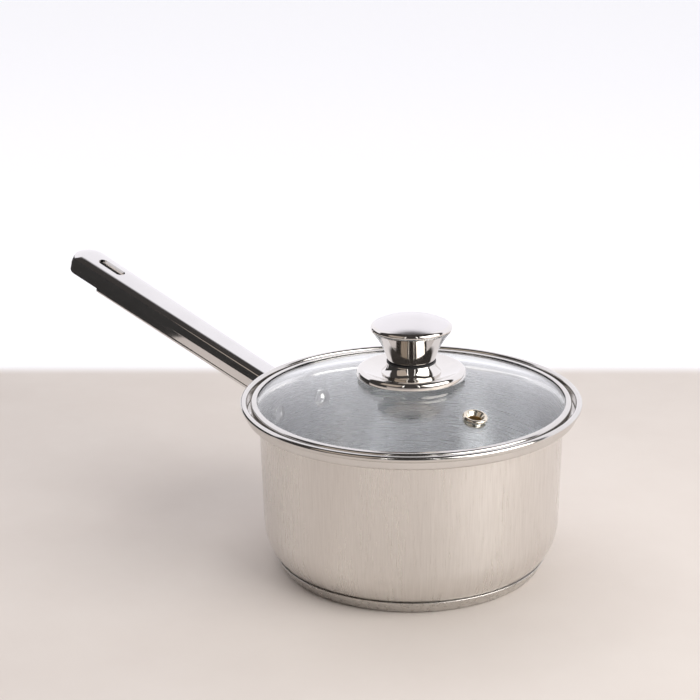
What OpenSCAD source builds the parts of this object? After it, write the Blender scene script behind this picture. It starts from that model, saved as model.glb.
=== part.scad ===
// Saucepan with a domed glass lid, in millimetres. +Z is up and the handle lies along -X.
// The origin is the centre of the base's underside, which stands on the hob.

/* [Pan] */
// Outer radius of the wall where its lower curve ends
wall_low_r = 77.1; // [75:0.1:78]
// Outer radius of the wall just under the flare
wall_top_r = 78.4; // [78.2:0.1:78.5]
// Height of the wall's top, where the flare begins
wall_top_z = 80.3; // [79.6:0.1:80.4]
// Sheet thickness of the pan
pan_t = 0.8; // [0.6:0.1:0.9]
// Radius of the big curve between the wall and the heel
curve_r = 29.8; // [27:0.1:31]
// Radius of the heel, where the curve turns into the flat bottom
heel_r = 8; // [6:0.5:10]
// Angle below the horizontal at which the curve meets the heel
heel_angle = 38.5; // [36:0.5:42]
// Height of the underside of the pan's flat bottom
floor_z = 3.9; // [3.6:0.1:4.2]
// Centreline radius of the flare that leads out to the lid's ledge
flare_r = 2.2; // [1.6:0.1:2.2]
// Radius of the rolled bead's outside
bead_r = 1.6; // [1.5:0.1:1.8]
// Distance from the axis to the middle of the rolled bead
bead_mid_r = 86.2; // [86:0.1:87]
// Height of the middle of the rolled bead
bead_mid_z = 88.1; // [87.4:0.1:89]

/* [Base] */
// Radius of the base's standing edge
base_low_r = 68.4; // [67.6:0.1:69]
// Radius of the base cap at its rim
base_top_r = 71.3; // [71.1:0.1:71.5]
// Height of the base cap's rim
base_top_z = 7; // [6.8:0.1:7.1]
// Sheet thickness of the base cap
cap_t = 0.7; // [0.5:0.1:0.8]

/* [Handle] */
// Length from the wall to the tip, along the handle
handle_l = 175; // [150:1:190]
// Rise of the handle above the horizontal, in degrees
handle_rise = 17.5; // [14:0.1:20]
// Height at which the handle's shoulder line meets the wall
handle_z = 76.6; // [76:0.1:77.5]
// Width of the handle at the wall
handle_root_w = 17; // [15:0.1:17.4]
// Width of the handle near its tip
handle_tip_w = 22; // [20:0.1:23]
// Depth of the upper shell's skirts
skirt_d = 9.8; // [9.4:0.1:10]
// Depth of the whole handle, lower shell included
handle_d = 13; // [12.6:0.1:13.2]
// Sheet thickness of both shells
handle_t = 1; // [0.8:0.1:1.2]
// Rise of the crown over the shoulders
crown_h = 1.8; // [1.4:0.1:2.4]
// Length of the rounded tip
tip_l = 9; // [7:0.5:11]
// Distance from the tip to the lower shell
lower_gap = 24; // [22:0.5:26]
// Length of the hanging slot
slot_l = 19.5; // [17:0.5:22]
// Width of the hanging slot
slot_w = 6; // [5:0.5:7]
// Distance from the tip to the middle of the hanging slot
slot_at = 27.5; // [25:0.5:29]
// Angle of each rivet from the handle's middle
rivet_angle = 13.2; // [13:0.1:14]
// Height of the rivets
rivet_z = 67.2; // [66.5:0.1:68]

/* [Lid] */
// Radius of the glass dome's outer surface
dome_r = 249; // [248:1:250]
// Height of the dome's crown
dome_top_z = 101.7; // [101.6:0.1:101.8]
// Thickness of the glass
glass_t = 4; // [3.6:0.1:4.1]
// Outer radius of the steel rim band
band_r = 82.5; // [82.4:0.1:83]
// Radius of the inner edge of the band's upper lip
lip_r = 79.4; // [79.3:0.1:80]
// Sheet thickness of the band
band_t = 0.5; // [0.4:0.05:0.6]
// Gap between the band and the ledge under it
seat_gap = 0.25; // [0.2:0.05:0.4]
// Distance from the axis to the steam vent
vent_at = 57.5; // [54:0.5:60]
// Direction of the steam vent about the axis
vent_angle = -20; // [-26:1:-14]
// Radius of the vent's bore
vent_bore_r = 3; // [2.8:0.1:3.2]
// Radius of the vent's upper flange
vent_flange_r = 6.3; // [6:0.1:6.6]

/* [Knob] */
// Radius of the plate under the knob
plate_r = 28.3; // [27:0.1:29.5]
// Height of the plate's flat middle
plate_z = 103; // [102.9:0.1:103.2]
// Height of the plate's raised rim
plate_rim_z = 105.5; // [105:0.1:106]
// Radius of the collar's foot
collar_r = 15.3; // [14.5:0.1:16]
// Radius of the knob's waist
waist_r = 12.4; // [12:0.1:12.8]
// Height of the waist
waist_z = 108.5; // [108:0.1:109]
// Radius of the knob at its widest
knob_r = 20.9; // [20:0.1:22]
// Height of the knob at its widest
knob_z = 126.7; // [126:0.1:128]
// Rise of the domed top over the widest line
knob_rise = 6.4; // [5.8:0.1:7]
// Sheet thickness of the knob's pieces
knob_t = 0.8; // [0.7:0.1:0.9]
// Radius of the screw's shank
screw_r = 2.5; // [2.5:0.1:2.6]

/* [Hidden] */
$fn = 96;

steel = [0.80, 0.78, 0.75];
satin_steel = [0.72, 0.70, 0.67];
aluminium = [0.78, 0.79, 0.80];
tinted_glass = [0.80, 0.85, 0.85, 0.35];
warm_steel = [0.74, 0.64, 0.48];
dark_rubber = [0.12, 0.12, 0.12];
clear_rubber = [0.85, 0.85, 0.85, 0.6];

eps = 0.01;
run_gap = 0.05;                                 // clearance round a shank in its hole
cut_h = 140;                                    // height of a cut that passes right through the pan
draft = atan((wall_top_r - wall_low_r) / (wall_top_z - floor_z - heel_r - curve_r * sin(heel_angle)));
heel_mid = [wall_low_r - curve_r * cos(draft) + (curve_r - heel_r) * cos(heel_angle), floor_z + heel_r];
curve_mid = heel_mid + (curve_r - heel_r) * [-cos(heel_angle), sin(heel_angle)];
ledge_z = wall_top_z + flare_r + pan_t / 2;     // upper face of the ledge that carries the lid
ledge_turn_r = 1;                               // bend from the ledge up to the bead
bead_path_r = bead_r - pan_t / 2;
curl_end = -130;                                // angle at which the bead's curl ends

bracket_t = 2;
bracket_low_z = 57.8;
bracket_high_z = 76.8;
bracket_half_w = 25;
bracket_out_r = wall_top_r + bracket_t + 0.1;
tongue_l = 34;
tongue_w = 9;
tongue_h = 6.5;
rivet_r = 2.5;
rivet_head_r = 5;
rivet_head_h = 2;
rivet_seat_gap = 0.25;
rivet_hole_from_r = 60;                         // distance from the axis at which the rivets' holes begin
rivet_hole_l = 40;
shoulder_r = 1.4;                               // rounding between the crown and the skirts
lean_d = 5.2;                                   // depth at which the skirts begin to lean inwards
lean_w = 0.9;                                   // how far they lean in before the rounding
lower_corner_r = 3;
lower_lap = 4;                                  // how far the lower shell reaches up inside the skirts
tip_steps = 8;
tip_drop = 1.6;                                 // how far the crown falls at the very tip
tip_rise = 0.6;                                 // share of the skirt's depth lost at the very tip

dome_mid_z = dome_top_z - dome_r;
glass_edge_r = 81.2;
glass_hole_r = 4;
glass_vent_r = 4.2;
band_low_z = ledge_z + seat_gap;
band_high_z = 89.4;
band_foot_r = 78.9;                             // inner edge of the band's lower lip
seal_in_r = 79.6;                               // inner edge of the seal round the glass
vent_barrel_r = vent_bore_r + 0.8;
vent_seat = 0.5;                                // thickness of the vent's gasket
vent_tilt = asin(vent_at / dome_r);
vent_head_h = 1.5;

plate_low_z = plate_z - knob_t;
plate_turn_r = 2.3;                             // rounding of the plate's rim
plate_edge_z = 101.5;                           // height of the plate's lower edge
gasket_low_z = dome_top_z;
under_gasket_high_z = dome_top_z - glass_t - 0.2;
under_gasket_t = 0.8;
washer_t = 1;
washer_high_z = under_gasket_high_z - under_gasket_t;
screw_head_high_z = washer_high_z - washer_t;
screw_head_r = 4.6;
screw_head_h = 2.8;
spacer_t = 0.8;
body_low_z = waist_z + spacer_t;
bush_r = 5.5;
bush_h = 13;
clear_hole_r = screw_r + 0.4;
screw_top_z = body_low_z + knob_t + bush_h - 3;
cap_edge_r = 1.9;                               // rounding of the knob's widest edge
seam_angle = -38;                               // where the knob's cap meets its cone, round that edge

// Points on an arc round the point c.
function arc(c, r, a0, a1, n = 12) =
    [for (i = [0:n]) let (a = a0 + (a1 - a0) * i / n) c + r * [cos(a), sin(a)]];

// Points on an arc from p to q that bulges by sag to the left of the line between them.
function bow(p, q, sag, n = 12) =
    let (c = norm(q - p), r = (c * c / 4 + sag * sag) / (2 * abs(sag)), u = (q - p) / c,
        v = sign(sag) * [-u[1], u[0]], m = (p + q) / 2 + v * (abs(sag) - r), h = asin(c / 2 / r))
    [for (i = [0:n]) let (a = h * (2 * i / n - 1)) m + r * (v * cos(a) + u * sin(a))];

function unit(v) = v / norm(v);
function tangent(p, i) = unit(p[min(i + 1, len(p) - 1)] - p[max(i - 1, 0)]);
function shifted(p, d) = [for (i = [0:len(p) - 1]) let (t = tangent(p, i)) p[i] + d * [-t[1], t[0]]];
function reversed(p) = [for (i = [len(p) - 1:-1:0]) p[i]];

// Outer radius of the straight wall at height z.
function wall_r(z) = wall_top_r - (wall_top_z - z) * tan(draft);

// A bent sheet of thickness t along an open path in the r-z plane.
module sheet(path, t) polygon(concat(shifted(path, t / 2), reversed(shifted(path, -t / 2))));

// A ring of rectangular section.
module ring(r_in, r_out, z_low, z_high)
    rotate_extrude() translate([r_in, z_low]) square([r_out - r_in, z_high - z_low]);

// The middle of the pan's sheet, from the axis out to the end of the bead's curl.
pan_path = concat(
    [[0, floor_z + pan_t / 2]],
    arc(heel_mid, heel_r - pan_t / 2, -90, -heel_angle, 8),
    arc(curve_mid, curve_r - pan_t / 2, -heel_angle + 2, -draft, 12),
    arc([wall_top_r - pan_t / 2 + flare_r, wall_top_z], flare_r, 180, 90, 8),
    arc([bead_mid_r - bead_path_r - ledge_turn_r, wall_top_z + flare_r + ledge_turn_r],
        ledge_turn_r, -90, 0, 6),
    arc([bead_mid_r, bead_mid_z], bead_path_r, 180, curl_end, 30));

// The middle of the base cap's sheet, from the axis to its rim.
cap_corner_r = 1.8;
cap_path = concat(
    [[0, cap_t / 2]],
    arc([base_low_r - cap_corner_r, cap_corner_r + cap_t / 2], cap_corner_r, -90, -28, 6),
    [[base_top_r - cap_t / 2, base_top_z]]);

// Repeats a shape at both rivets, with z pointing outwards from the pan's axis.
module at_rivets()
    for (side = [-1, 1]) rotate([0, 0, 180 + side * rivet_angle])
        translate([0, 0, rivet_z]) rotate([0, 90, 0]) children();

// The holes for both rivets, through everything outside rivet_hole_from_r.
module rivet_holes() at_rivets()
    translate([0, 0, rivet_hole_from_r]) cylinder(h = rivet_hole_l, r = rivet_r + run_gap, $fn = 48);

// Puts a shape drawn with x along the handle and z up from its shoulder line in its place on the wall.
module on_handle()
    translate([-wall_top_r, 0, handle_z]) rotate([0, 0, 180]) rotate([0, -handle_rise, 0]) children();

// Width of the handle at a distance x from the wall.
function plain_w(x) = handle_root_w + (handle_tip_w - handle_root_w) * x / (handle_l - tip_l);

// One thin slice of the upper shell at x: its outside, or its hollow when inset is the sheet's thickness.
// The outside loses the share short of its skirts' depth.
module upper_slice(x, w, drop, inset, short = 0) {
    half = w / 2 - inset;
    low = inset > 0 ? skirt_d + handle_t : skirt_d * (1 - short);
    lean = min(lean_w, half * 0.1);
    lean_z = -min(lean_d, low * 0.55);
    round_r = min(shoulder_r, half * 0.6);
    crown = min(crown_h, half * 0.3);
    translate([x, 0, -drop]) rotate([90, 0, 90]) linear_extrude(eps) polygon(concat(
        [[half, -low + drop], [half, lean_z]],
        arc([half - lean - round_r, -round_r - inset], round_r, 12, 60, 5),
        [for (i = [-4:4]) [-i * half * 0.16, crown * (1 - i * i / 25) - inset]],
        arc([lean + round_r - half, -round_r - inset], round_r, 120, 168, 5),
        [[-half, lean_z], [-half, -low + drop]]));
}

// The filled outside of the upper shell, or its hollow when inset is the sheet's thickness.
module upper_form(inset) hull() {
    upper_slice(-1, plain_w(-1), 0, inset);
    for (i = [0:tip_steps]) {
        a = 86 * i / tip_steps;
        width = plain_w(handle_l - tip_l) * cos(a) + 2 * inset * (1 - cos(a));
        end = 1 - cos(a);
        upper_slice(handle_l - tip_l + (tip_l - inset) * sin(a), width, tip_drop * end, inset, tip_rise * end);
    }
}

// The filled outside of the lower shell, or its hollow when inset is the sheet's thickness.
module lower_form(inset) {
    top = skirt_d - lower_lap + (inset > 0 ? -1 : 0);
    hull() for (x = [-1, handle_l - lower_gap - 3, handle_l - lower_gap]) {
        end = x > handle_l - lower_gap - 1;
        half = plain_w(x) / 2 - handle_t - run_gap - inset - (end ? 1 : 0);
        deep = handle_d - inset - (end ? 1.5 : 0);
        translate([x - (end ? inset : 0), 0, 0]) rotate([90, 0, 90]) linear_extrude(eps) polygon(concat(
            [[half, -top], [-half, -top]],
            arc([lower_corner_r - half, lower_corner_r - deep], lower_corner_r, 180, 270, 6),
            arc([half - lower_corner_r, lower_corner_r - deep], lower_corner_r, 270, 360, 6)));
    }
}

// The hanging slot's hole, through both shells.
module hanging_slot() translate([handle_l - slot_at, 0, -handle_d - 5]) {
    span = slot_l - slot_w;
    translate([-span / 2, -slot_w / 2, 0]) cube([span, slot_w, handle_d + 15]);
    for (side = [-1, 1]) translate([side * span / 2, 0, 0]) cylinder(h = handle_d + 15, d = slot_w);
}

module pan_shell() color(satin_steel) difference() {
    rotate_extrude($fn = 180) sheet(pan_path, pan_t);
    rivet_holes();
}

// Everything above the pan's underside.
module above_pan_underside() polygon(concat(shifted(pan_path, -pan_t / 2 - eps), [[0, wall_top_z]]));

module base_core() color(aluminium) rotate_extrude($fn = 180) difference() {
    polygon(concat(shifted(cap_path, cap_t / 2 + eps), [[0, base_top_z]]));
    above_pan_underside();
}

module base_cap() color(steel) rotate_extrude($fn = 180) difference() {
    sheet(cap_path, cap_t);
    above_pan_underside();
}

module handle_bracket() color(steel) difference() {
    union() {
        intersection() {
            rotate_extrude($fn = 180) polygon([
                [wall_r(bracket_low_z) + run_gap, bracket_low_z], [bracket_out_r, bracket_low_z],
                [bracket_out_r, bracket_high_z], [wall_r(bracket_high_z) + run_gap, bracket_high_z]]);
            mid_z = (bracket_low_z + bracket_high_z) / 2;
            end_r = (bracket_high_z - bracket_low_z) / 2;
            translate([-rivet_hole_from_r - rivet_hole_l, 0, mid_z])
                rotate([0, 90, 0]) linear_extrude(rivet_hole_l) {
                    square([2 * end_r, 2 * (bracket_half_w - end_r)], center = true);
                    for (side = [-1, 1]) translate([0, side * (bracket_half_w - end_r)]) circle(end_r);
                }
        }
        difference() {
            on_handle() translate([0, -tongue_w / 2, -tongue_h - 3.2]) cube([tongue_l, tongue_w, tongue_h]);
            cylinder(h = cut_h, r = bracket_out_r - 1, $fn = 180);
        }
    }
    rivet_holes();
}

module handle_rivets() color(steel) at_rivets() {
    inner = wall_r(rivet_z) - pan_t - rivet_seat_gap;
    outer = bracket_out_r + run_gap;
    translate([0, 0, inner - eps]) cylinder(h = outer - inner + 1, r = rivet_r, $fn = 48);
    translate([0, 0, inner]) mirror([0, 0, 1]) dome_head(rivet_head_r, rivet_head_h);
    translate([0, 0, outer]) dome_head(rivet_head_r - 0.6, 1.4);
}

// A low domed head of radius r and height h, standing on z = 0.
module dome_head(r, h) rotate_extrude($fn = 48)
    polygon(concat([[0, 0], [r, 0]], bow([r, 0.4], [0, h], -0.4, 10)));

module handle_upper_shell() color(steel) difference() {
    on_handle() difference() {
        upper_form(0);
        upper_form(handle_t);
        hanging_slot();
    }
    cylinder(h = cut_h, r = bracket_out_r + run_gap, $fn = 180);
}

module handle_lower_shell() color(steel) difference() {
    on_handle() difference() {
        lower_form(0);
        lower_form(handle_t);
        hanging_slot();
    }
    cylinder(h = cut_h, r = bracket_out_r + run_gap, $fn = 180);
}

// Half of the dome's section, grown by a small gap.
module glass_section(gap) {
    edge = glass_edge_r + gap;
    polygon(concat(
        arc([0, dome_mid_z], dome_r + gap, 90, acos(edge / (dome_r + gap)), 24),
        arc([0, dome_mid_z], dome_r - glass_t - gap, acos(edge / (dome_r - glass_t - gap)), 90, 24)));
}

module lid_glass() color(tinted_glass) difference() {
    rotate_extrude($fn = 180) difference() {
        glass_section(0);
        translate([0, dome_top_z - 10]) square([glass_hole_r, 20]);
    }
    at_vent() translate([0, 0, -10]) cylinder(h = 20, r = glass_vent_r, $fn = 48);
}

// Stands a shape on the dome at the vent, with z along the glass's normal there.
module at_vent() rotate([0, 0, vent_angle]) translate([0, 0, dome_mid_z]) rotate([0, vent_tilt, 0])
    translate([0, 0, dome_r]) children();

// The middle of the band's sheet, from the lower lip round to the upper one.
band_turn_r = 1.2;
band_path = let (low = band_low_z + band_t / 2, high = band_high_z - band_t / 2, out = band_r - band_t / 2)
    concat([[band_foot_r, low]],
        arc([out - band_turn_r, low + band_turn_r], band_turn_r, -90, 0, 6),
        arc([out - band_turn_r, high - band_turn_r], band_turn_r, 0, 90, 6),
        [[lip_r, high]]);

// The channel section that grips the edge of the glass.
module lid_rim_band() color(steel) rotate_extrude($fn = 180) sheet(band_path, band_t);

// The seal that fills the channel round the edge of the glass.
module lid_rim_seal() color(dark_rubber) rotate_extrude($fn = 180) difference() {
    polygon(shifted(band_path, band_t / 2 + eps));
    glass_section(eps);
    translate([0, band_low_z]) square([seal_in_r, band_high_z - band_low_z]);
}

// The eyelet that lines the steam vent and clamps the glass between its two flanges.
module vent_eyelet() color(warm_steel) at_vent() rotate_extrude($fn = 72) {
    low = -glass_t - 0.2;
    polygon(concat(
        [[vent_bore_r, low - 0.8], [vent_flange_r - 1, low - 0.8], [vent_flange_r - 1, low],
            [vent_barrel_r, low], [vent_barrel_r, vent_seat + eps], [vent_flange_r, vent_seat + eps]],
        bow([vent_flange_r, vent_seat + 0.4], [vent_bore_r, vent_seat + 0.6], -vent_head_h + 0.3, 12)));
}

module vent_gasket() color(clear_rubber) at_vent()
    ring(vent_barrel_r + run_gap, vent_flange_r - 0.5, run_gap, vent_seat);

// A shallow dish whose rounded rim stands clear of the glass.
module knob_plate() color(steel) rotate_extrude($fn = 144) {
    half = knob_t / 2;
    foot = [collar_r + 0.5, plate_z - half];
    turn_mid = [plate_r - plate_turn_r - 0.3, plate_rim_z - plate_turn_r];
    rise = bow(foot, turn_mid + (plate_turn_r - half) * [cos(112), sin(112)], -0.3, 8);
    sheet(concat([[clear_hole_r, foot[1]]], rise, arc(turn_mid, plate_turn_r - half, 101, 4, 9),
        [[plate_r - half, plate_edge_z]]), knob_t);
}

module knob_collar() color(steel) rotate_extrude($fn = 144) {
    web = plate_z + knob_t;
    difference() {
        polygon(concat([[clear_hole_r, plate_z], [collar_r, plate_z]],
            bow([collar_r, plate_z + 0.6], [waist_r, waist_z], 0.5, 8),
            [[clear_hole_r, waist_z]]));
        translate([bush_r + 1, web]) polygon([[0, 0], [collar_r - bush_r - 3.2, 0],
            [waist_r - bush_r - 2.2, waist_z - web - knob_t], [0, waist_z - web - knob_t]]);
    }
}

module knob_spacer_ring() color(dark_rubber) ring(clear_hole_r, waist_r + 0.25, waist_z, body_low_z);

// A point of the middle of the knob's sheet on its rounded edge, at an angle from the horizontal.
function knob_edge(a) = [knob_r - cap_edge_r, knob_z] + (cap_edge_r - knob_t / 2) * [cos(a), sin(a)];

module knob_body() color(steel) rotate_extrude($fn = 144) {
    half = knob_t / 2;
    sheet(concat([[clear_hole_r, body_low_z + half], [waist_r - 1.4, body_low_z + half]],
        bow([waist_r - half, body_low_z + 1.2], knob_edge(seam_angle - 1), 0.9, 12)), knob_t);
}

module knob_cap() color(steel) rotate_extrude($fn = 144) {
    half = knob_t / 2;
    top = knob_z + knob_rise - half;
    edge_mid = [knob_r - cap_edge_r, knob_z];
    join = edge_mid + (cap_edge_r - half) * [cos(62), sin(62)];
    dome = (join[0] * join[0] + (top - join[1]) * (top - join[1])) / (2 * (top - join[1]));
    sheet(concat(
        [[0, top]],
        [[0.4, top]],
        arc([0, top - dome], dome, 88, 90 - asin(join[0] / dome), 14),
        arc(edge_mid, cap_edge_r - half, 50, seam_angle + 1, 6)), knob_t);
}

// The threaded bush welded inside the knob.
module knob_bush() color(aluminium) difference() {
    translate([0, 0, body_low_z + knob_t]) cylinder(h = bush_h, r = bush_r);
    translate([0, 0, body_low_z]) cylinder(h = knob_t + bush_h - 2, r = screw_r + run_gap, $fn = 48);
}

module knob_screw() color(steel) difference() {
    union() {
        translate([0, 0, screw_head_high_z - eps])
            cylinder(h = screw_top_z - screw_head_high_z, r = screw_r, $fn = 48);
        translate([0, 0, screw_head_high_z]) mirror([0, 0, 1]) dome_head(screw_head_r, screw_head_h);
    }
    for (turn = [0, 90]) rotate([0, 0, turn])
        translate([-2.4, -0.45, screw_head_high_z - screw_head_h - 1]) cube([4.8, 0.9, 2.6]);
}

module knob_washer() color(steel) ring(clear_hole_r, 8.5, washer_high_z - washer_t, washer_high_z);

module knob_upper_gasket() color(clear_rubber) ring(clear_hole_r, 9, gasket_low_z, plate_low_z);

module knob_lower_gasket() color(clear_rubber)
    ring(clear_hole_r, 8, under_gasket_high_z - under_gasket_t, under_gasket_high_z);

pan_shell();
base_core();
base_cap();
handle_bracket();
handle_rivets();
handle_upper_shell();
handle_lower_shell();
lid_glass();
lid_rim_band();
lid_rim_seal();
vent_eyelet();
vent_gasket();
knob_plate();
knob_collar();
knob_spacer_ring();
knob_body();
knob_cap();
knob_bush();
knob_screw();
knob_washer();
knob_upper_gasket();
knob_lower_gasket();
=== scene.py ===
import math
from types import SimpleNamespace

import bmesh
import bpy
from mathutils import Matrix, Vector


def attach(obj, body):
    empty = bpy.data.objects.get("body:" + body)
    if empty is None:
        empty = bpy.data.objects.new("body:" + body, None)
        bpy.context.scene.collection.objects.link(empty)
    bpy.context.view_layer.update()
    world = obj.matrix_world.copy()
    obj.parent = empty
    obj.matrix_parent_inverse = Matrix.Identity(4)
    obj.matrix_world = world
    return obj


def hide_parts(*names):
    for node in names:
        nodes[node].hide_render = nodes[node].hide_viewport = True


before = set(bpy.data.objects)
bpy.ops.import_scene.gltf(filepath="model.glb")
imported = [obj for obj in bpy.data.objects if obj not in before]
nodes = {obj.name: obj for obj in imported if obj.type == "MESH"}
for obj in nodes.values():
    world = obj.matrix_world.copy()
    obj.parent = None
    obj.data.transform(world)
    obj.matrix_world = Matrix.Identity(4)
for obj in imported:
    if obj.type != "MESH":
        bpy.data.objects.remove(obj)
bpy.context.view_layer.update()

# ---------------------------------------------------------------- sizes, in millimetres
MM = 0.001
BIG_STEPS = 288                 # steps round the axis on the pan, the base and the lid
SMALL_STEPS = 144               # steps round the axis on the knob, the vent and the rivets
SHARP = math.radians(38)        # edges sharper than this stay crisp

PAN_T = 0.8
WALL_LOW_R, WALL_TOP_R, WALL_TOP_Z = 77.1, 78.4, 80.3
CURVE_R, HEEL_R, HEEL_ANGLE, FLOOR_Z = 29.8, 8.0, 38.5, 3.9
FLARE_R, LEDGE_TURN_R = 2.2, 1.0
BEAD_R, BEAD_MID_R, BEAD_MID_Z, CURL_END = 1.6, 86.2, 88.1, -130
BASE_LOW_R, BASE_TOP_R, BASE_TOP_Z, CAP_T, CAP_BEND = 68.4, 71.3, 6.6, 0.7, 1.8
GROOVE_Z = 5.2                  # top of the base's filling, deep in the groove under the pan

BRACKET_T, BRACKET_LOW_Z, BRACKET_HIGH_Z, BRACKET_HALF_W = 2.0, 57.8, 76.8, 25.0
TONGUE_L, TONGUE_W, TONGUE_H = 34.0, 9.0, 6.5
HANDLE_L, HANDLE_RISE, HANDLE_Z = 175.0, 17.5, 76.6
HANDLE_ROOT_W, HANDLE_TIP_W, TIP_L = 17.0, 22.0, 9.0
SKIRT_D, HANDLE_D, HANDLE_T = 9.8, 13.0, 1.0
SHOULDER_R, LEAN_TILT, SHOULDER_TILT = 1.3, 17, 68
LEAN_D, LEAN_TOP_D, LEAN_W = 5.2, 1.2, 0.9      # the skirts lean in by LEAN_W between these two depths
TIP_RISE = 0.6                  # share of the skirts' depth lost at the very tip
LOWER_GAP, LOWER_CORNER_R, LOWER_LAP, LOWER_TIP_L = 24.0, 1.6, 4.0, 4.0
TUCK = 1.1                      # how far the lower shell steps in to fit inside the skirts
SLOT_L, SLOT_W, SLOT_AT = 19.5, 6.0, 27.5
RIVET_ANGLE, RIVET_Z, RIVET_R, HEAD_IN_R, HEAD_OUT_R = 13.2, 67.2, 2.5, 5.0, 4.4

DOME_R, DOME_TOP_Z, GLASS_T, GLASS_EDGE_R, GLASS_HOLE_R = 249.0, 101.7, 4.0, 81.2, 4.0
BAND_R, LIP_R, BAND_T, BAND_TURN_R, BAND_FOOT_R, BAND_HIGH_Z = 82.5, 79.4, 0.5, 1.2, 78.9, 89.4
SEAT_GAP = 0.25
VENT_AT, VENT_ANGLE, VENT_BORE_R, VENT_FLANGE_R, GLASS_VENT_R = 57.5, -20.0, 3.0, 6.3, 4.2

PLATE_R, PLATE_Z, PLATE_RIM_Z, PLATE_TURN_R, PLATE_EDGE_Z = 28.3, 103.0, 105.5, 2.3, 101.5
COLLAR_R, WAIST_R, WAIST_Z, SPACER_T = 15.3, 12.4, 108.5, 0.8
KNOB_R, KNOB_Z, KNOB_RISE, KNOB_T, KNOB_EDGE_R = 20.9, 126.7, 6.4, 0.8, 1.9
KNOB_SEAM = -38                 # where the knob's cap meets its cone, round its rounded edge
CROWN_JOIN = 62                 # where the crown meets that edge
CLEAR_HOLE_R = 2.9              # the screw's way through the knob
GAP = 0.05                      # between pieces that touch on the real object

# Directions about the object's axis are angles in degrees from +X.
VIEW_FROM = -52.5               # where the camera stands
VIEW_ELEVATION = 17.79
VIEW_DISTANCE = 0.9
VIEW_TARGET = Vector((-0.0030, -0.0023, 0.1145))
VIEW_LENS = 90.63
VIEW_SHIFT_X = -0.077
FLOOR_FADE = (0.30, 0.325)      # metres behind the axis between which the floor turns as bright as the wall
CARD_SIDE = -0.42               # metres to the right of the axis, as the camera sees it


def direction(azimuth, elevation=0.0):
    a, e = math.radians(azimuth), math.radians(elevation)
    return Vector((math.cos(a) * math.cos(e), math.sin(a) * math.cos(e), math.sin(e)))


# ---------------------------------------------------------------- outlines
def arc(centre, radius, start, end, steps=12):
    """Points (r, z) on an arc, angles in degrees."""
    turns = [math.radians(start + (end - start) * i / steps) for i in range(steps + 1)]
    return [(centre[0] + radius * math.cos(a), centre[1] + radius * math.sin(a)) for a in turns]


def bow(p, q, sag, steps=12):
    """Points on an arc from p to q that bulges by sag to the left of the line between them."""
    dx, dz = q[0] - p[0], q[1] - p[1]
    chord = math.hypot(dx, dz)
    radius = (chord * chord / 4 + sag * sag) / (2 * abs(sag))
    u = (dx / chord, dz / chord)
    side = math.copysign(1, sag)
    v = (-side * u[1], side * u[0])
    back = abs(sag) - radius
    mid = ((p[0] + q[0]) / 2 + v[0] * back, (p[1] + q[1]) / 2 + v[1] * back)
    half = math.asin(min(1, chord / 2 / radius))
    turns = [half * (2 * i / steps - 1) for i in range(steps + 1)]
    return [(mid[0] + radius * (v[0] * math.cos(a) + u[0] * math.sin(a)),
             mid[1] + radius * (v[1] * math.cos(a) + u[1] * math.sin(a))) for a in turns]


def dense(path, longest):
    """The same path with its long steps cut up, so that its shading stays even."""
    out = [path[0]]
    for p, q in zip(path, path[1:]):
        parts = max(1, math.ceil(math.dist(p, q) / longest))
        out += [(p[0] + (q[0] - p[0]) * k / parts, p[1] + (q[1] - p[1]) * k / parts)
                for k in range(1, parts + 1)]
    return out


def shifted(path, d):
    """The path moved sideways by d, to its left."""
    out = []
    for i, p in enumerate(path):
        a, b = path[max(i - 1, 0)], path[min(i + 1, len(path) - 1)]
        size = math.dist(a, b)
        out.append((p[0] - d * (b[1] - a[1]) / size, p[1] + d * (b[0] - a[0]) / size))
    return out


def rounded_end(path, t, steps=6):
    """Points round the last end of a sheet of thickness t, from its left side to its right."""
    (ax, az), (bx, bz) = path[-2], path[-1]
    heading = math.degrees(math.atan2(bz - az, bx - ax))
    return arc((bx, bz), t / 2, heading + 90, heading - 90, steps)[1:-1]


def sheet(path, t, round_last=True):
    """Closed outline of a bent sheet of thickness t along an open path."""
    last = rounded_end(path, t) if round_last else []
    return shifted(path, t / 2) + last + shifted(path, -t / 2)[::-1]


# ---------------------------------------------------------------- mesh building
def finish_mesh(name, bm, materials, sharp=SHARP):
    """Makes an object of the bmesh, smooth except along its sharp edges."""
    bmesh.ops.remove_doubles(bm, verts=bm.verts, dist=1e-6)
    bmesh.ops.dissolve_degenerate(bm, edges=bm.edges, dist=1e-7)
    bmesh.ops.recalc_face_normals(bm, faces=bm.faces)
    mesh = bpy.data.meshes.new(name)
    bm.to_mesh(mesh)
    bm.free()
    for material in materials:
        mesh.materials.append(material)
    mesh.polygons.foreach_set("use_smooth", [True] * len(mesh.polygons))
    mesh.set_sharp_from_angle(angle=sharp)
    piece = bpy.data.objects.new(name, mesh)
    bpy.context.scene.collection.objects.link(piece)
    return piece


def add_face(bm, corners, index=0):
    """A face on the corners, less any that repeat."""
    kept = [v for i, v in enumerate(corners) if v not in corners[:i]]
    if len(kept) > 2:
        bm.faces.new(kept).material_index = index


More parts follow.
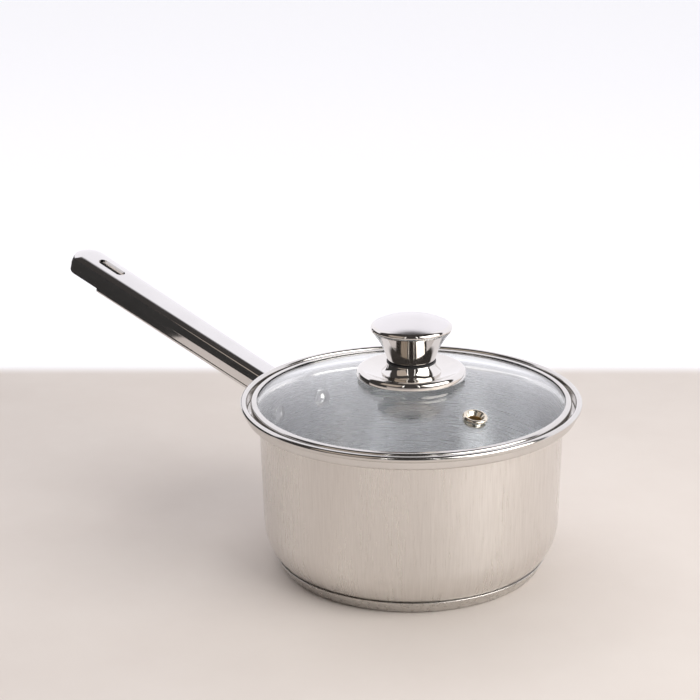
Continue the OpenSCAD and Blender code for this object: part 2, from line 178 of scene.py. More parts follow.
def lathe(name, outline, materials, steps=SMALL_STEPS, place=Matrix.Identity(4), pick=None):
    """Turns a closed outline of (r, z) points in millimetres about Z.

    pick(i, r, z) gives the material of the faces between points i and i + 1, whose middle is at r and z.
    """
    bm = bmesh.new()
    rings = []
    for r, z in outline:
        turns = [2 * math.pi * k / steps for k in range(steps)] if r > 1e-6 else [0]
        ring = [bm.verts.new(place @ (Vector((r * math.cos(a), r * math.sin(a), z)) * MM)) for a in turns]
        rings.append(ring if len(ring) > 1 else ring * steps)
    for i, p in enumerate(outline):
        j = (i + 1) % len(outline)
        q = outline[j]
        if p[0] < 1e-6 and q[0] < 1e-6:
            continue
        index = pick(i, (p[0] + q[0]) / 2, (p[1] + q[1]) / 2) if pick else 0
        for k in range(steps):
            n = (k + 1) % steps
            add_face(bm, [rings[i][k], rings[i][n], rings[j][n], rings[j][k]], index)
    return finish_mesh(name, bm, materials)


def cut(piece, cutter):
    """Takes the cutter's volume out of the piece and removes the cutter."""
    step = piece.modifiers.new("cut", "BOOLEAN")
    step.operation, step.solver, step.object = "DIFFERENCE", "EXACT", cutter
    bpy.context.view_layer.update()
    graph = bpy.context.evaluated_depsgraph_get()
    mesh = bpy.data.meshes.new_from_object(piece.evaluated_get(graph))
    piece.modifiers.clear()
    piece.data = mesh
    mesh.set_sharp_from_angle(angle=SHARP)
    bpy.data.objects.remove(cutter)


def show(piece, body, slot, *replaced):
    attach(piece, body)
    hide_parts(*replaced)
    return piece


# ---------------------------------------------------------------- material graphs
class Graph:
    """Short calls for building a node tree. An input is a socket, a number or a tuple."""

    def __init__(self, tree):
        self.tree = tree
        tree.nodes.clear()

    def add(self, kind, **settings):
        node = self.tree.nodes.new(kind)
        for key, value in settings.items():
            setattr(node, key, value)
        return node

    def feed(self, socket, value):
        if isinstance(value, bpy.types.NodeSocket):
            self.tree.links.new(value, socket)
        else:
            socket.default_value = value

    def math(self, operation, *values):
        node = self.add("ShaderNodeMath", operation=operation)
        for socket, value in zip(node.inputs, values):
            self.feed(socket, value)
        return node.outputs[0]

    def vector(self, *values):
        node = self.add("ShaderNodeCombineXYZ")
        for socket, value in zip(node.inputs, values):
            self.feed(socket, value)
        return node.outputs[0]

    def noise(self, vector, scale=1.0, detail=3.0, rough=0.5):
        node = self.add("ShaderNodeTexNoise")
        self.feed(node.inputs["Vector"], vector)
        for key, value in (("Scale", scale), ("Detail", detail), ("Roughness", rough)):
            node.inputs[key].default_value = value
        return node.outputs["Fac"]

    def spread(self, value, low, high, from_low=0.3, from_high=0.7, smooth=False):
        node = self.add("ShaderNodeMapRange", interpolation_type="SMOOTHSTEP" if smooth else "LINEAR")
        for key, setting in (("Value", value), ("From Min", from_low), ("From Max", from_high),
                             ("To Min", low), ("To Max", high)):
            self.feed(node.inputs[key], setting)
        return node.outputs["Result"]

    def mix(self, factor, a, b, blend="MIX"):
        node = self.add("ShaderNodeMix", data_type="RGBA", blend_type=blend)
        self.feed(node.inputs["Factor"], factor)
        for socket, value in ((node.inputs[6], a), (node.inputs[7], b)):
            self.feed(socket, value if isinstance(value, bpy.types.NodeSocket) else (*value, 1))
        return node.outputs[2]

    def bump(self, height, distance, strength=1.0, normal=None):
        node = self.add("ShaderNodeBump")
        self.feed(node.inputs["Height"], height)
        node.inputs["Distance"].default_value = distance
        node.inputs["Strength"].default_value = strength
        if normal:
            self.feed(node.inputs["Normal"], normal)
        return node.outputs["Normal"]

    def place(self):
        """The point in the row frame, its coordinates, its distance r from the axis and its heading."""
        point = self.add("ShaderNodeTexCoord").outputs["Object"]
        split = self.add("ShaderNodeSeparateXYZ")
        self.feed(split.inputs[0], point)
        x, y, z = split.outputs
        r = self.math("SQRT", self.math("ADD", self.math("MULTIPLY", x, x), self.math("MULTIPLY", y, y)))
        safe = self.math("MAXIMUM", r, 0.0005)
        return SimpleNamespace(point=point, x=x, y=y, z=z, r=r, ux=self.math("DIVIDE", x, safe),
                               uy=self.math("DIVIDE", y, safe))


def material(name):
    made = bpy.data.materials.new(name)
    made.use_nodes = True
    graph = Graph(made.node_tree)
    shader = graph.add("ShaderNodeBsdfPrincipled")
    out = graph.add("ShaderNodeOutputMaterial")
    graph.feed(out.inputs["Surface"], shader.outputs[0])
    return made, graph, shader.inputs


def times(g, value, factor):
    return g.math("MULTIPLY", value, factor)


def brushed_round(g, pitch=0.0007, wander=4.0):
    """Fine lines that run round the axis."""
    at = g.place()
    sideways = g.math("ADD", times(g, at.r, 1 / pitch), times(g, at.ux, wander))
    upwards = g.math("ADD", times(g, at.z, 1 / pitch), times(g, at.uy, wander))
    return g.noise(g.vector(sideways, upwards, times(g, at.uy, wander)), detail=3)


def brushed_down(g, around=80.0, along=60.0, detail=4.0):
    """Fine streaks that run down the wall."""
    at = g.place()
    across = g.vector(times(g, at.ux, around), times(g, at.uy, around), times(g, at.z, along))
    return g.noise(across, detail=detail)


def brush(g, inputs, turn, amount):
    """Stretches the reflections along one direction of the surface about the axis."""
    inputs["Anisotropic"].default_value = amount
    inputs["Anisotropic Rotation"].default_value = turn
    g.feed(inputs["Tangent"], g.add("ShaderNodeTangent", direction_type="RADIAL", axis="Z").outputs[0])


def satin_outside():
    made, g, inputs = material("satin_steel_outside")
    at = g.place()
    streaks = brushed_down(g)
    fine = brushed_down(g, around=210, along=140, detail=3)
    zones = g.noise(g.vector(times(g, at.ux, 3.2), times(g, at.uy, 3.2), times(g, at.z, 9)), detail=2)
    marks = g.spread(brushed_down(g, around=150, along=110, detail=2), 0, 1, 0.66, 0.74)
    tone = g.mix(g.spread(streaks, 0, 1), (0.73, 0.70, 0.665), (0.80, 0.77, 0.735))
    tone = g.mix(times(g, marks, 0.35), tone, (0.52, 0.48, 0.44))
    g.feed(inputs["Base Color"], tone)
    inputs["Metallic"].default_value = 1
    rough = g.math("ADD", g.spread(streaks, 0.25, 0.33), g.spread(zones, -0.03, 0.04))
    g.feed(inputs["Roughness"], g.math("ADD", rough, g.spread(fine, -0.02, 0.02)))
    g.feed(inputs["Normal"], g.bump(g.math("ADD", streaks, times(g, fine, 0.6)), 0.00002, 0.5))
    brush(g, inputs, 0.25, 0.65)
    return made


def satin_inside():
    made, g, inputs = material("satin_steel_inside")
    at = g.place()
    lines = brushed_round(g, 0.0008)
    zones = g.noise(g.vector(times(g, at.ux, 5), times(g, at.uy, 5), times(g, at.z, 14)), detail=3)
    g.feed(inputs["Base Color"], g.mix(g.spread(lines, 0, 1), (0.68, 0.685, 0.70), (0.80, 0.805, 0.82)))
    inputs["Metallic"].default_value = 1
    g.feed(inputs["Roughness"], g.math("ADD", g.spread(lines, 0.21, 0.31), g.spread(zones, -0.03, 0.03)))
    g.feed(inputs["Normal"], g.bump(lines, 0.00003, 0.5))
    brush(g, inputs, 0.25, 0.8)
    return made


def polished(name, colour=(0.80, 0.78, 0.75), rough=0.06, smudge=0.05, scratches=0.2):
    made, g, inputs = material(name)
    at = g.place()
    cloud = g.noise(at.point, 55, 4, 0.6)
    lines = brushed_round(g, 0.0004, 9)
    g.feed(inputs["Base Color"], g.mix(g.spread(cloud, 0, 1), tuple(c * 0.94 for c in colour), colour))
    inputs["Metallic"].default_value = 1
    g.feed(inputs["Roughness"], g.math("ADD", g.spread(cloud, rough, rough + smudge, 0.45, 0.75),
                                       g.spread(lines, 0, smudge / 2, 0.5, 0.8)))
    g.feed(inputs["Normal"], g.bump(lines, 0.000004, scratches))
    return made


def turned_base():
    made, g, inputs = material("turned_base_steel")
    at = g.place()
    lines = brushed_round(g, 0.0006, 7)
    mottle = g.noise(at.point, 420, 3, 0.6)
    rings = g.math("SINE", times(g, at.r, 2 * math.pi / 0.0016))
    under = g.spread(at.z, 1, 0, 0.0004, 0.0012)
    blend = g.math("ADD", times(g, lines, 0.5), times(g, mottle, 0.5))
    g.feed(inputs["Base Color"], g.mix(g.spread(blend, 0, 1), (0.56, 0.535, 0.51), (0.72, 0.70, 0.67)))
    inputs["Metallic"].default_value = 1
    g.feed(inputs["Roughness"], g.math("ADD", g.spread(mottle, 0.24, 0.36), g.spread(lines, -0.03, 0.03)))
    height = g.math("ADD", g.math("ADD", lines, mottle), g.math("MULTIPLY", under, times(g, rings, 1.5)))
    g.feed(inputs["Normal"], g.bump(height, 0.00003, 0.5))
    brush(g, inputs, 0.25, 0.4)
    return made


def plain_metal(name, colour, rough, pitch=0.0009, depth=0.00003):
    made, g, inputs = material(name)
    at = g.place()
    lines, cloud = brushed_round(g, pitch), g.noise(at.point, 260, 4, 0.6)
    g.feed(inputs["Base Color"], g.mix(g.spread(cloud, 0, 1), tuple(c * 0.88 for c in colour), colour))
    inputs["Metallic"].default_value = 1
    g.feed(inputs["Roughness"], g.math("ADD", g.spread(cloud, rough - 0.05, rough + 0.06),
                                       g.spread(lines, -0.03, 0.03)))
    g.feed(inputs["Normal"], g.bump(g.math("ADD", lines, cloud), depth, 0.5))
    return made


def tempered_glass():
    made, g, inputs = material("tempered_glass")
    at = g.place()
    wipe = g.noise(at.point, 38, 4, 0.62)
    inputs["Base Color"].default_value = (0.955, 0.975, 0.975, 1)
    inputs["IOR"].default_value = 1.6
    inputs["Transmission Weight"].default_value = 1
    g.feed(inputs["Roughness"], g.spread(wipe, 0.0, 0.012, 0.5, 0.8))
    g.feed(inputs["Normal"], g.bump(g.noise(at.point, 22, 2), 0.00003, 0.25))
    return made


def rubber(name, colour, rough, clear=0.0):
    made, g, inputs = material(name)
    at = g.place()
    grain = g.noise(at.point, 1800, 3, 0.6)
    dust = g.noise(at.point, 120, 4, 0.6)
    dusty = tuple(min(1, c * 1.25 + 0.01) for c in colour)
    g.feed(inputs["Base Color"], g.mix(g.spread(dust, 0, 1), colour, dusty))
    g.feed(inputs["Roughness"], g.spread(grain, rough - 0.06, rough + 0.08))
    inputs["Transmission Weight"].default_value = clear
    inputs["IOR"].default_value = 1.41
    g.feed(inputs["Normal"], g.bump(grain, 0.00002, 0.4))
    return made


OUTSIDE = satin_outside()
INSIDE = satin_inside()
RIM = polished("polished_rim_steel", (0.70, 0.68, 0.655), 0.11, 0.06)
BRIGHT = polished("polished_steel", (0.80, 0.775, 0.745), 0.045, 0.05)
HANDLE = polished("polished_handle_steel", (0.78, 0.765, 0.755), 0.05, 0.05)
CROWN = polished("soft_polished_steel", (0.80, 0.78, 0.775), 0.17, 0.06)
BASE = turned_base()
PLAIN = plain_metal("plain_steel", (0.68, 0.665, 0.65), 0.3)
RIVET = plain_metal("rivet_steel", (0.84, 0.83, 0.82), 0.16)
ALUMINIUM = plain_metal("cast_aluminium", (0.70, 0.71, 0.72), 0.42)
WARM = plain_metal("warm_vent_steel", (0.83, 0.77, 0.66), 0.12, depth=0.00001)
BRASS = plain_metal("brass_bore", (0.60, 0.44, 0.23), 0.3)
GLASS = tempered_glass()
SEAL = rubber("dark_seal", (0.025, 0.025, 0.027), 0.5)
SILICONE = rubber("clear_silicone", (0.80, 0.81, 0.80), 0.4, 0.55)

# ---------------------------------------------------------------- pan and base
heel_cos, heel_sin = math.cos(math.radians(HEEL_ANGLE)), math.sin(math.radians(HEEL_ANGLE))
straight_h = WALL_TOP_Z - FLOOR_Z - HEEL_R - CURVE_R * heel_sin
draft = math.degrees(math.atan((WALL_TOP_R - WALL_LOW_R) / straight_h))
heel_in = (CURVE_R - HEEL_R) * heel_cos
heel_mid = (WALL_LOW_R - CURVE_R * math.cos(math.radians(draft)) + heel_in, FLOOR_Z + HEEL_R)
curve_mid = (heel_mid[0] - heel_in, heel_mid[1] + (CURVE_R - HEEL_R) * heel_sin)
half_t = PAN_T / 2
bead_path_r = BEAD_R - half_t

pan_path = dense(
    [(0, FLOOR_Z + half_t)]
    + arc(heel_mid, HEEL_R - half_t, -90, -HEEL_ANGLE, 10)
    + arc(curve_mid, CURVE_R - half_t, -HEEL_ANGLE + 2, -draft, 20)
    + arc((WALL_TOP_R - half_t + FLARE_R, WALL_TOP_Z), FLARE_R, 180, 90, 10)
    + arc((BEAD_MID_R - bead_path_r - LEDGE_TURN_R, WALL_TOP_Z + FLARE_R + LEDGE_TURN_R),
          LEDGE_TURN_R, -90, 0, 8)
    + arc((BEAD_MID_R, BEAD_MID_Z), bead_path_r, 180, CURL_END, 36), 3.0)


def wall_r(z):
    """Outer radius of the straight wall."""
    return WALL_TOP_R - (WALL_TOP_Z - z) * math.tan(math.radians(draft))


def heel_r(z):
    """Outer radius of the heel."""
    return heel_mid[0] + math.sqrt(HEEL_R ** 2 - (heel_mid[1] - z) ** 2)


rim_start_z = WALL_TOP_Z + 0.6


def pan_zone(i, r, z):
    """Rim, inside or outside of the pan. The outline's first half runs along the inside."""
    if z > rim_start_z:
        return 2
    return 1 if i < len(pan_path) - 1 else 0


pan = lathe("pan_vessel", sheet(pan_path, PAN_T), [OUTSIDE, INSIDE, RIM], BIG_STEPS, pick=pan_zone)
show(pan, "pan", "satin_steel", "pan_shell")

cap_path = dense(
    [(0, CAP_T / 2)]
    + arc((BASE_LOW_R - CAP_BEND, CAP_BEND + CAP_T / 2), CAP_BEND, -90, -28, 8)
    + [(BASE_TOP_R - CAP_T / 2, BASE_TOP_Z - CAP_T / 2)], 3.0)
cap = lathe("base_disc", sheet(cap_path, CAP_T), [BASE], BIG_STEPS)
show(cap, "pan", "base_steel", "base_cap")

core_gap = 0.02
core_low = shifted(cap_path, CAP_T / 2 + core_gap)
core_low = [p for p in core_low if p[1] < GROOVE_Z]
core_high = [p for p in shifted(pan_path, -half_t - core_gap)
             if p[1] < GROOVE_Z and p[0] < heel_r(GROOVE_Z)]
core = lathe("base_filling", core_low + core_high[::-1], [ALUMINIUM], BIG_STEPS)
show(core, "pan", "aluminium", "base_core")

# ---------------------------------------------------------------- handle
rise = math.radians(HANDLE_RISE)
on_handle = (Matrix.Translation(Vector((-WALL_TOP_R, 0, HANDLE_Z)) * MM)
             @ Matrix.Rotation(math.pi, 4, "Z") @ Matrix.Rotation(-rise, 4, "Y"))
root_r = WALL_TOP_R + BRACKET_T + 0.15


def root_x(y, z):
    """Where a line along the handle meets the bracket."""
    return (math.sqrt(root_r ** 2 - y * y) - WALL_TOP_R + z * math.sin(rise)) / math.cos(rise)


def half_width(x):
    """Half the handle's width at x along it."""
    return (HANDLE_ROOT_W + (HANDLE_TIP_W - HANDLE_ROOT_W) * x / (HANDLE_L - TIP_L)) / 2


def top_profile(half, radius, short=0.0):
    """Upper shell's section from the skirt's foot to the ridge: (distance from the edge, height).

    The skirt loses the share short of its depth.
    """
    start, tilt = math.radians(LEAN_TILT), math.radians(SHOULDER_TILT)
    depths = [SKIRT_D - 0.3, SKIRT_D * 0.8, SKIRT_D * 0.65, LEAN_D + 0.1]
    points = [(0.0, -d) for d in depths]
    points += [(LEAN_W * (0.75 * k + 0.25 * k * k), -LEAN_TOP_D * k - LEAN_D * (1 - k))
               for k in (i / 6 for i in range(7))]
    points = [(d, -LEAN_TOP_D + (z + LEAN_TOP_D) * (1 - short)) for d, z in points]
    d0, z0 = points[-1]
    leans = [start + (tilt - start) * i / 6 for i in range(1, 7)]
    points += [(d0 + radius * (math.cos(start) - math.cos(a)), z0 + radius * (math.sin(a) - math.sin(start)))
               for a in leans]
    d0, z0 = points[-1]
    rest = half - d0
    rise_to_ridge = rest / 2 / math.tan(tilt)
    points += [(d0 + rest * i / 8, z0 + rise_to_ridge * (1 - (1 - i / 8) ** 2)) for i in range(1, 9)]
    return points


def low_profile(half, radius, _short=0.0):
    """Lower shell's section from inside the skirts to the middle of its underside, never shortened."""
    top, deep = -(SKIRT_D - LOWER_LAP), -HANDLE_D
    points = [(TUCK, top), (TUCK, -SKIRT_D + 0.4), (TUCK * 0.9, -SKIRT_D), (TUCK * 0.55, -SKIRT_D - 0.25),
              (TUCK * 0.2, -SKIRT_D - 0.55), (0.0, -SKIRT_D - 1.05)]
    turns = [math.radians(i * 11) for i in range(9)]
    points += [(radius * (1 - math.cos(a)), deep + radius * (1 - math.sin(a))) for a in turns]
    d0, z0 = points[-1]
    points += [(d0 + (half - d0) * i / 6, z0 + (deep - z0) * (1 - (1 - i / 6) ** 2)) for i in range(1, 7)]
    return points


def shell_skin(bm, profile, inset, length, nose, radius, rows, turns):
    """One skin of a handle shell. Each row is a section from the outline's edge to its middle line."""
    grid = []
    straight = length - nose
    for i in range(-rows, rows + 1 + turns):
        flip = 1
        if i < 0 or i > turns:                     # along the two straight sides
            share = 1 - (-i if i < 0 else i - turns) / rows
            flip = 1 if i < 0 else -1
            half = half_width(straight * share) - inset
            row = [(straight * share, flip * (half - d), z) for d, z in profile(half, radius)]
            row = [(root_x(y, z) + (straight - root_x(y, z)) * share, y, z) for x, y, z in row]
        else:                                      # round the end
            a = math.pi * i / turns
            half = half_width(straight) - inset
            reach = nose - inset
            row = [(straight + reach * math.sin(a) * (1 - d / half), half * math.cos(a) * (1 - d / half), z)
                   for d, z in profile(half, radius, TIP_RISE * (1 - abs(math.cos(a))))]
        grid.append([bm.verts.new(on_handle @ (Vector(p) * MM)) for p in row])
    return grid


def handle_shell(name, profile, inner_profile, inset, length, nose, radius):
    """A closed thin shell: an outer and an inner skin, joined round their edge and at the root."""
    bm = bmesh.new()
    rows, turns = 54, 40
    inner_radius = max(0.6, radius - HANDLE_T)
    outer = shell_skin(bm, profile, inset, length, nose, radius, rows, turns)
    inner = shell_skin(bm, inner_profile, inset + HANDLE_T, length, nose, inner_radius, rows, turns)
    for grid in (outer, inner):
        for a, b in zip(grid, grid[1:]):
            for j in range(len(a) - 1):
                add_face(bm, [a[j], b[j], b[j + 1], a[j + 1]])
    for i in range(len(outer) - 1):
        add_face(bm, [outer[i][0], inner[i][0], inner[i + 1][0], outer[i + 1][0]])
    for end in (0, -1):
        for j in range(len(outer[0]) - 1):
            add_face(bm, [outer[end][j], outer[end][j + 1], inner[end][j + 1], inner[end][j]])
    return finish_mesh(name, bm, [HANDLE], math.radians(40))


def slot_cutter():
    """A stadium-shaped prism through both shells."""
    bm = bmesh.new()
    span = (SLOT_L - SLOT_W) / 2
    ring = [(x + span, y) for x, y in arc((0, 0), SLOT_W / 2, -90, 90, 24)]
    ring += [(x - span, y) for x, y in arc((0, 0), SLOT_W / 2, 90, 270, 24)]
    centre = HANDLE_L - SLOT_AT
    low, high = ([bm.verts.new(on_handle @ (Vector((centre + x, y, z)) * MM)) for x, y in ring]
                 for z in (-HANDLE_D - 5, 8))
    for k in range(len(ring)):
        n = (k + 1) % len(ring)
        bm.faces.new([low[k], low[n], high[n], high[k]])
    bm.faces.new(low[::-1])
    bm.faces.new(high)
    return finish_mesh("slot_cutter", bm, [HANDLE])


def under_top(half, radius, short=0.0):
    """The upper shell's inside: a sheet's thickness under its outside, above the skirts."""
    return [(d, z if i < 4 else z - HANDLE_T) for i, (d, z) in enumerate(top_profile(half, radius, short))]


def over_low(half, radius, _short=0.0):
    """The lower shell's inside: a sheet's thickness over its outside."""
    return [(d, z if i < 1 else z + HANDLE_T) for i, (d, z) in enumerate(low_profile(half, radius))]


upper = handle_shell("handle_top_shell", top_profile, under_top, 0, HANDLE_L, TIP_L, SHOULDER_R)
cut(upper, slot_cutter())
show(upper, "pan", "polished_steel", "handle_upper_shell")
lower = handle_shell("handle_bottom_shell", low_profile, over_low, HANDLE_T + GAP, HANDLE_L - LOWER_GAP,
                     LOWER_TIP_L, LOWER_CORNER_R)
cut(lower, slot_cutter())
show(lower, "pan", "polished_steel", "handle_lower_shell")


def on_wall(s, z, r):
    """A point at arc length s from the handle's middle, on a cylinder of radius r about the axis."""
    a = math.pi + s / root_r
    return Vector((r * math.cos(a), r * math.sin(a), z)) * MM


def bracket():
    """The bracket's curved plate, with rounded ends and eased edges."""
    bm = bmesh.new()
    mid_z, end_r = (BRACKET_LOW_Z + BRACKET_HIGH_Z) / 2, (BRACKET_HIGH_Z - BRACKET_LOW_Z) / 2
    span = BRACKET_HALF_W - end_r
    rim = [(span, a) for a in range(-90, 91, 10)]
    rim += [(span * (1 - i / 10), 90) for i in range(1, 20)]
    rim += [(-span, a) for a in range(90, 271, 10)]
    rim += [(-span * (1 - i / 10), 270) for i in range(1, 20)]
    out_r, ease = WALL_TOP_R + BRACKET_T + 0.1, 0.5
    levels = [(1.0, None), (1.0, out_r - ease), (1 - 0.29 * ease / end_r, out_r - 0.29 * ease),
              (1 - ease / end_r, out_r), (0.75, out_r), (0.5, out_r), (0.25, out_r), (0.0, out_r)]
    rings = []
    for share, r in levels:
        ring = []
        for s, a in rim:
            ds, dz = end_r * share * math.cos(math.radians(a)), end_r * share * math.sin(math.radians(a))
            z = mid_z + dz
            ring.append(bm.verts.new(on_wall(s + ds, z, r or wall_r(z) + GAP)))
        rings.append(ring)
    back = [bm.verts.new(on_wall(s, mid_z, wall_r(mid_z) + GAP)) for s, a in rim]
    rings = [back] + rings
    for a, b in zip(rings, rings[1:]):
        for k in range(len(rim)):
            n = (k + 1) % len(rim)
            add_face(bm, [a[k], a[n], b[n], b[k]])
    return finish_mesh("bracket_plate", bm, [PLAIN])


show(bracket(), "pan", "plain_steel", "handle_bracket")
tongue_bm = bmesh.new()
bmesh.ops.create_cube(tongue_bm, size=1)
for v in tongue_bm.verts:
    v.co = on_handle @ (Vector((3 + (v.co.x + 0.5) * (TONGUE_L - 3), v.co.y * TONGUE_W,
                                -3.2 - TONGUE_H + (v.co.z + 0.5) * TONGUE_H)) * MM)
bmesh.ops.bevel(tongue_bm, geom=tongue_bm.edges[:], offset=0.0008, segments=3, affect="EDGES", profile=0.5)
show(finish_mesh("bracket_tongue", tongue_bm, [PLAIN]), "pan", "plain_steel", "handle_bracket")


def raised(z):
    """A move up by z."""
    return Matrix.Translation(Vector((0, 0, z * MM)))


rivet_in = wall_r(RIVET_Z) - PAN_T - 0.2
rivet_out = WALL_TOP_R + BRACKET_T + 0.1
rivet_line = (bow((0, rivet_in - 2.0), (HEAD_IN_R, rivet_in - 0.5), 0.35, 10)
              + [(HEAD_IN_R, rivet_in), (RIVET_R, rivet_in), (RIVET_R, rivet_out), (HEAD_OUT_R, rivet_out)]
              + bow((HEAD_OUT_R, rivet_out + 0.4), (0, rivet_out + 1.4), -0.4, 10))
for name, side in (("rivet_near", -1), ("rivet_far", 1)):
    at = (Matrix.Rotation(math.radians(180 + side * RIVET_ANGLE), 4, "Z")
          @ raised(RIVET_Z) @ Matrix.Rotation(math.pi / 2, 4, "Y"))
    show(lathe(name, rivet_line, [RIVET], 64, at), "pan", "plain_steel", "handle_rivets")

# ---------------------------------------------------------------- lid
dome_mid_z = DOME_TOP_Z - DOME_R


def dome_line(radius, r_from, r_to, steps):
    """Points on a sphere's section round the dome's middle, between two distances from the axis."""
    return arc((0, dome_mid_z), radius, math.degrees(math.acos(r_from / radius)),
               math.degrees(math.acos(r_to / radius)), steps)


edge_ease = 0.9
edge_top, edge_low = (dome_line(radius, GLASS_EDGE_R, GLASS_EDGE_R, 1)[0][1]
                      for radius in (DOME_R, DOME_R - GLASS_T))
glass_line = (dome_line(DOME_R, GLASS_HOLE_R, GLASS_EDGE_R - edge_ease, 36)
              + [(GLASS_EDGE_R - 0.25, edge_top - 0.15), (GLASS_EDGE_R, edge_top - edge_ease),
                 (GLASS_EDGE_R, edge_low + edge_ease)]
              + dome_line(DOME_R - GLASS_T, GLASS_EDGE_R - edge_ease, GLASS_HOLE_R, 36))
glass = lathe("glass_dome", glass_line, [GLASS], BIG_STEPS)
at_vent = (Matrix.Rotation(math.radians(VENT_ANGLE), 4, "Z") @ raised(dome_mid_z)
           @ Matrix.Rotation(math.asin(VENT_AT / DOME_R), 4, "Y") @ raised(DOME_R))
vent_hole = [(0, -9), (GLASS_VENT_R, -9), (GLASS_VENT_R, 6), (0, 6)]
cut(glass, lathe("vent_cutter", vent_hole, [GLASS], 64, at_vent))
show(glass, "lid", "clear_glass", "lid_glass")

band_low, band_high = (WALL_TOP_Z + FLARE_R + half_t + SEAT_GAP + BAND_T / 2), BAND_HIGH_Z - BAND_T / 2
band_out = BAND_R - BAND_T / 2
band_path = ([(BAND_FOOT_R, band_low)]
             + arc((band_out - BAND_TURN_R, band_low + BAND_TURN_R), BAND_TURN_R, -90, 0, 10)
             + arc((band_out - BAND_TURN_R, band_high - BAND_TURN_R), BAND_TURN_R, 0, 90, 10)
             + [(LIP_R + 0.25, band_high)])
show(lathe("rim_band", sheet(dense(band_path, 1.0), BAND_T), [RIM], BIG_STEPS), "lid", "polished_steel",
     "lid_rim_band")

vent_low, vent_foot_r = -GLASS_T - 0.2, VENT_FLANGE_R - 1
vent_line = ([(VENT_BORE_R, vent_low - 0.8), (vent_foot_r, vent_low - 0.8), (vent_foot_r, vent_low),
              (VENT_BORE_R + 0.8, vent_low), (VENT_BORE_R + 0.8, 0.5), (VENT_FLANGE_R - 0.3, 0.5)]
             + arc((VENT_FLANGE_R - 1.1, 0.75), 1.1, -12, 150, 16)
             + [(VENT_BORE_R + 0.55, 0.2), (VENT_BORE_R + 0.12, -0.3), (VENT_BORE_R, -0.9)])
show(lathe("vent_ring", vent_line, [WARM, BRASS], 96, at_vent,
           lambda i, r, z: 1 if r < VENT_BORE_R + 0.3 and z < 0 else 0), "lid", "vent_steel", "vent_eyelet")

# ---------------------------------------------------------------- knob
half_k = KNOB_T / 2
plate_turn_mid = (PLATE_R - PLATE_TURN_R - 0.3, PLATE_RIM_Z - PLATE_TURN_R)
plate_turn = arc(plate_turn_mid, PLATE_TURN_R - half_k, 112, 4, 20)
plate_path = ([(CLEAR_HOLE_R, PLATE_Z - half_k)]
              + bow((COLLAR_R + 0.5, PLATE_Z - half_k), plate_turn[0], -0.3, 16) + plate_turn[1:]
              + [(PLATE_R - half_k, PLATE_EDGE_Z + half_k)])
plate = lathe("knob_base_plate", sheet(dense(plate_path, 2), KNOB_T), [BRIGHT])
show(plate, "lid", "polished_steel", "knob_plate")

collar_line = ([(CLEAR_HOLE_R, PLATE_Z), (COLLAR_R - 0.1, PLATE_Z), (COLLAR_R, PLATE_Z + 0.25)]
               + bow((COLLAR_R, PLATE_Z + 0.6), (WAIST_R, WAIST_Z - 0.25), 0.5, 16)
               + [(WAIST_R - 0.2, WAIST_Z), (CLEAR_HOLE_R, WAIST_Z)])
show(lathe("knob_foot", collar_line, [BRIGHT]), "lid", "polished_steel", "knob_collar")

body_low = WAIST_Z + SPACER_T
edge_mid = (KNOB_R - KNOB_EDGE_R, KNOB_Z)
seam = arc(edge_mid, KNOB_EDGE_R - half_k, KNOB_SEAM + 1, KNOB_SEAM - 1, 1)
cone = bow((WAIST_R - half_k, body_low + 1.2), seam[1], 0.9, 30)
cone_path = dense([(CLEAR_HOLE_R, body_low + half_k), (WAIST_R - 1.6, body_low + half_k),
                   (WAIST_R - 0.75, body_low + 0.62)], 2) + cone
show(lathe("knob_cone", sheet(cone_path, KNOB_T), [BRIGHT]), "lid", "polished_steel", "knob_body")

top_z = KNOB_Z + KNOB_RISE - half_k
join = (edge_mid[0] + (KNOB_EDGE_R - half_k) * math.cos(math.radians(CROWN_JOIN)),
        edge_mid[1] + (KNOB_EDGE_R - half_k) * math.sin(math.radians(CROWN_JOIN)))
crown_r = (join[0] ** 2 + (top_z - join[1]) ** 2) / (2 * (top_z - join[1]))
cap_line = sheet(arc((0, top_z - crown_r), crown_r, 90, 90 - math.degrees(math.asin(join[0] / crown_r)), 30)
                 + arc(edge_mid, KNOB_EDGE_R - half_k, 50, KNOB_SEAM + 1, 14), KNOB_T)
crown = lathe("knob_crown", cap_line, [CROWN, BRIGHT], pick=lambda i, r, z: 1 if r > KNOB_R - 1.4 else 0)
show(crown, "lid", "polished_steel", "knob_cap")

# ---------------------------------------------------------------- finishes of the CAD nodes that stay
staying = {
    "lid_rim_seal": SEAL, "knob_spacer_ring": SEAL,
    "knob_bush": ALUMINIUM, "knob_screw": PLAIN, "knob_washer": PLAIN,
    "vent_gasket": SILICONE, "knob_upper_gasket": SILICONE, "knob_lower_gasket": SILICONE,
}
for name, finish in staying.items():
    mesh = nodes[name].data
    mesh.materials.clear()
    mesh.materials.append(finish)
    mesh.polygons.foreach_set("material_index", [0] * len(mesh.polygons))

# ---------------------------------------------------------------- floor, light and camera
away = direction(VIEW_FROM + 180)


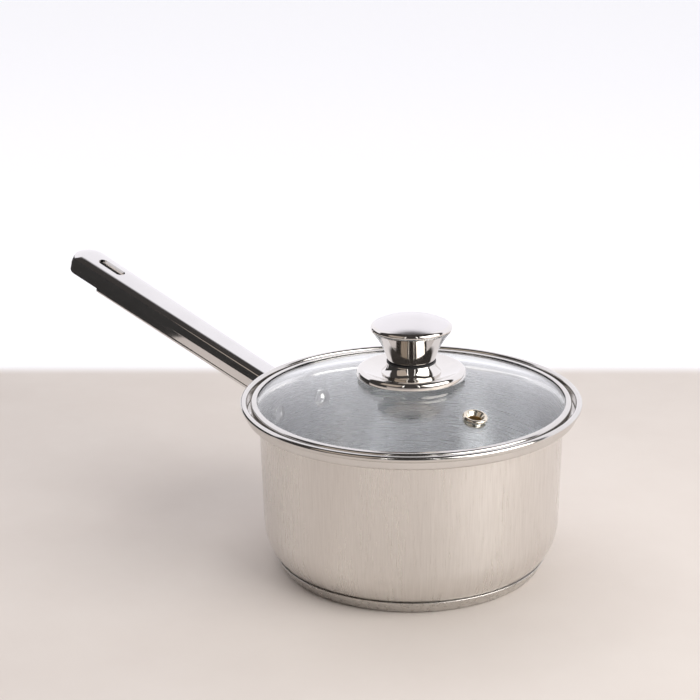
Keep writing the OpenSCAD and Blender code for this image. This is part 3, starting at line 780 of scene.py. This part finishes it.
def stage_floor():
    """The pale floor, which gives off light of its own beyond FLOOR_FADE."""
    bm = bmesh.new()
    bmesh.ops.create_grid(bm, x_segments=1, y_segments=1, size=4)
    made, g, inputs = material("pale_floor")
    at = g.place()
    depth = g.math("ADD", times(g, at.x, away.x), times(g, at.y, away.y))
    cloud, grain = g.noise(at.point, 9, 4, 0.6), g.noise(at.point, 90, 4, 0.6)
    stone = g.mix(g.spread(cloud, 0, 1), (0.76, 0.70, 0.655), (0.80, 0.745, 0.70))
    far = g.spread(depth, 0, 1, *FLOOR_FADE, True)
    g.feed(inputs["Base Color"], g.mix(far, stone, (0.30, 0.295, 0.305)))
    inputs["Emission Color"].default_value = (0.90, 0.895, 0.93, 1)
    g.feed(inputs["Emission Strength"], times(g, far, 0.86))
    inputs["Specular IOR Level"].default_value = 0.2
    g.feed(inputs["Roughness"], g.spread(grain, 0.65, 0.85))
    g.feed(inputs["Normal"], g.bump(grain, 0.0004, 0.25))
    floor = finish_mesh("floor", bm, [made])


def soft_light(name, azimuth, elevation, distance, size, power, colour, diffuse=True, glossy=True):
    """A rectangle of light that faces the pan and isn't seen itself."""
    light = bpy.data.lights.new(name, "AREA")
    light.shape, light.size, light.size_y = "RECTANGLE", size[0], size[1]
    light.energy, light.color = power, colour
    lamp = bpy.data.objects.new(name, light)
    target = Vector((0, 0, 0.06))
    heading = direction(azimuth, elevation)
    lamp.location = target + heading * distance
    lamp.rotation_euler = heading.to_track_quat("Z", "Y").to_euler()
    lamp.visible_camera = False
    lamp.visible_diffuse, lamp.visible_glossy = diffuse, glossy
    bpy.context.scene.collection.objects.link(lamp)


def dark_card():
    """A dark board left of the handle, seen only in reflections."""
    side = direction(VIEW_FROM + 90)
    made, g, inputs = material("dark_board")
    at = g.place()
    g.feed(inputs["Base Color"], g.mix(g.noise(at.point, 40), (0.02, 0.02, 0.02), (0.03, 0.03, 0.03)))
    inputs["Roughness"].default_value = 0.9
    bm = bmesh.new()
    outline = [(-0.35, 0.05), (0.02, 0.05), (0.02, 0.002), (0.5, 0.002), (0.5, 0.24), (-0.35, 0.24)]
    bm.faces.new([bm.verts.new(side * CARD_SIDE + away * y + Vector((0, 0, z))) for y, z in outline])
    card = finish_mesh("dark_board", bm, [made])
    card.visible_camera = card.visible_diffuse = card.visible_shadow = card.visible_transmission = False


def sky():
    """Soft light from all round: pale towards the back and overhead, dim behind the camera."""
    world = bpy.data.worlds.new("soft_studio")
    world.use_nodes = True
    bpy.context.scene.world = world
    g = Graph(world.node_tree)
    heading = g.add("ShaderNodeTexCoord").outputs["Generated"]
    split = g.add("ShaderNodeSeparateXYZ")
    g.feed(split.inputs[0], heading)
    x, y, z = split.outputs
    ahead = g.math("ADD", times(g, x, away.x), times(g, y, away.y))
    light = g.spread(g.math("SUBTRACT", ahead, times(g, z, 0.53)), 0, 1, -0.05, 0.05, True)
    tone = g.mix(light, (0.055, 0.050, 0.048), (1.12, 1.10, 1.16))
    seen = g.add("ShaderNodeLightPath").outputs["Is Camera Ray"]
    tone = g.mix(seen, tone, (0.90, 0.89, 0.92))
    shader = g.add("ShaderNodeBackground")
    g.feed(shader.inputs["Color"], tone)
    out = g.add("ShaderNodeOutputWorld")
    g.feed(out.inputs["Surface"], shader.outputs[0])


stage_floor()
sky()
soft_light("window", 7, 31, 1.3, (1.2, 1.05), 15, (1.0, 0.975, 0.95))
soft_light("overhead", -150, 72, 1.6, (1.8, 1.8), 13, (1.0, 0.97, 0.955), glossy=False)
soft_light("warm_panel", -99, 34, 1.3, (0.95, 0.95), 1.25, (1.0, 0.85, 0.72), diffuse=False)
soft_light("strip_left", -70, 30, 1.3, (0.03, 1.1), 0.35, (1.0, 0.98, 0.96), diffuse=False)
soft_light("strip_right", -36, 30, 1.3, (0.03, 1.1), 0.35, (1.0, 0.98, 0.96), diffuse=False)
dark_card()

camera = bpy.data.cameras.new("camera")
camera.lens, camera.sensor_width, camera.shift_x = VIEW_LENS, 36, VIEW_SHIFT_X
camera.clip_start, camera.clip_end = 0.05, 20
eye = bpy.data.objects.new("camera", camera)
back = direction(VIEW_FROM, VIEW_ELEVATION)
eye.location = VIEW_TARGET + back * VIEW_DISTANCE
eye.rotation_euler = back.to_track_quat("Z", "Y").to_euler()
bpy.context.scene.collection.objects.link(eye)
bpy.context.scene.camera = eye

scene = bpy.context.scene
scene.view_settings.view_transform = "Standard"
scene.cycles.use_denoising = True
scene.cycles.glossy_bounces = 8
scene.cycles.transmission_bounces = 12
scene.cycles.max_bounces = 16
scene.cycles.sample_clamp_indirect = 6
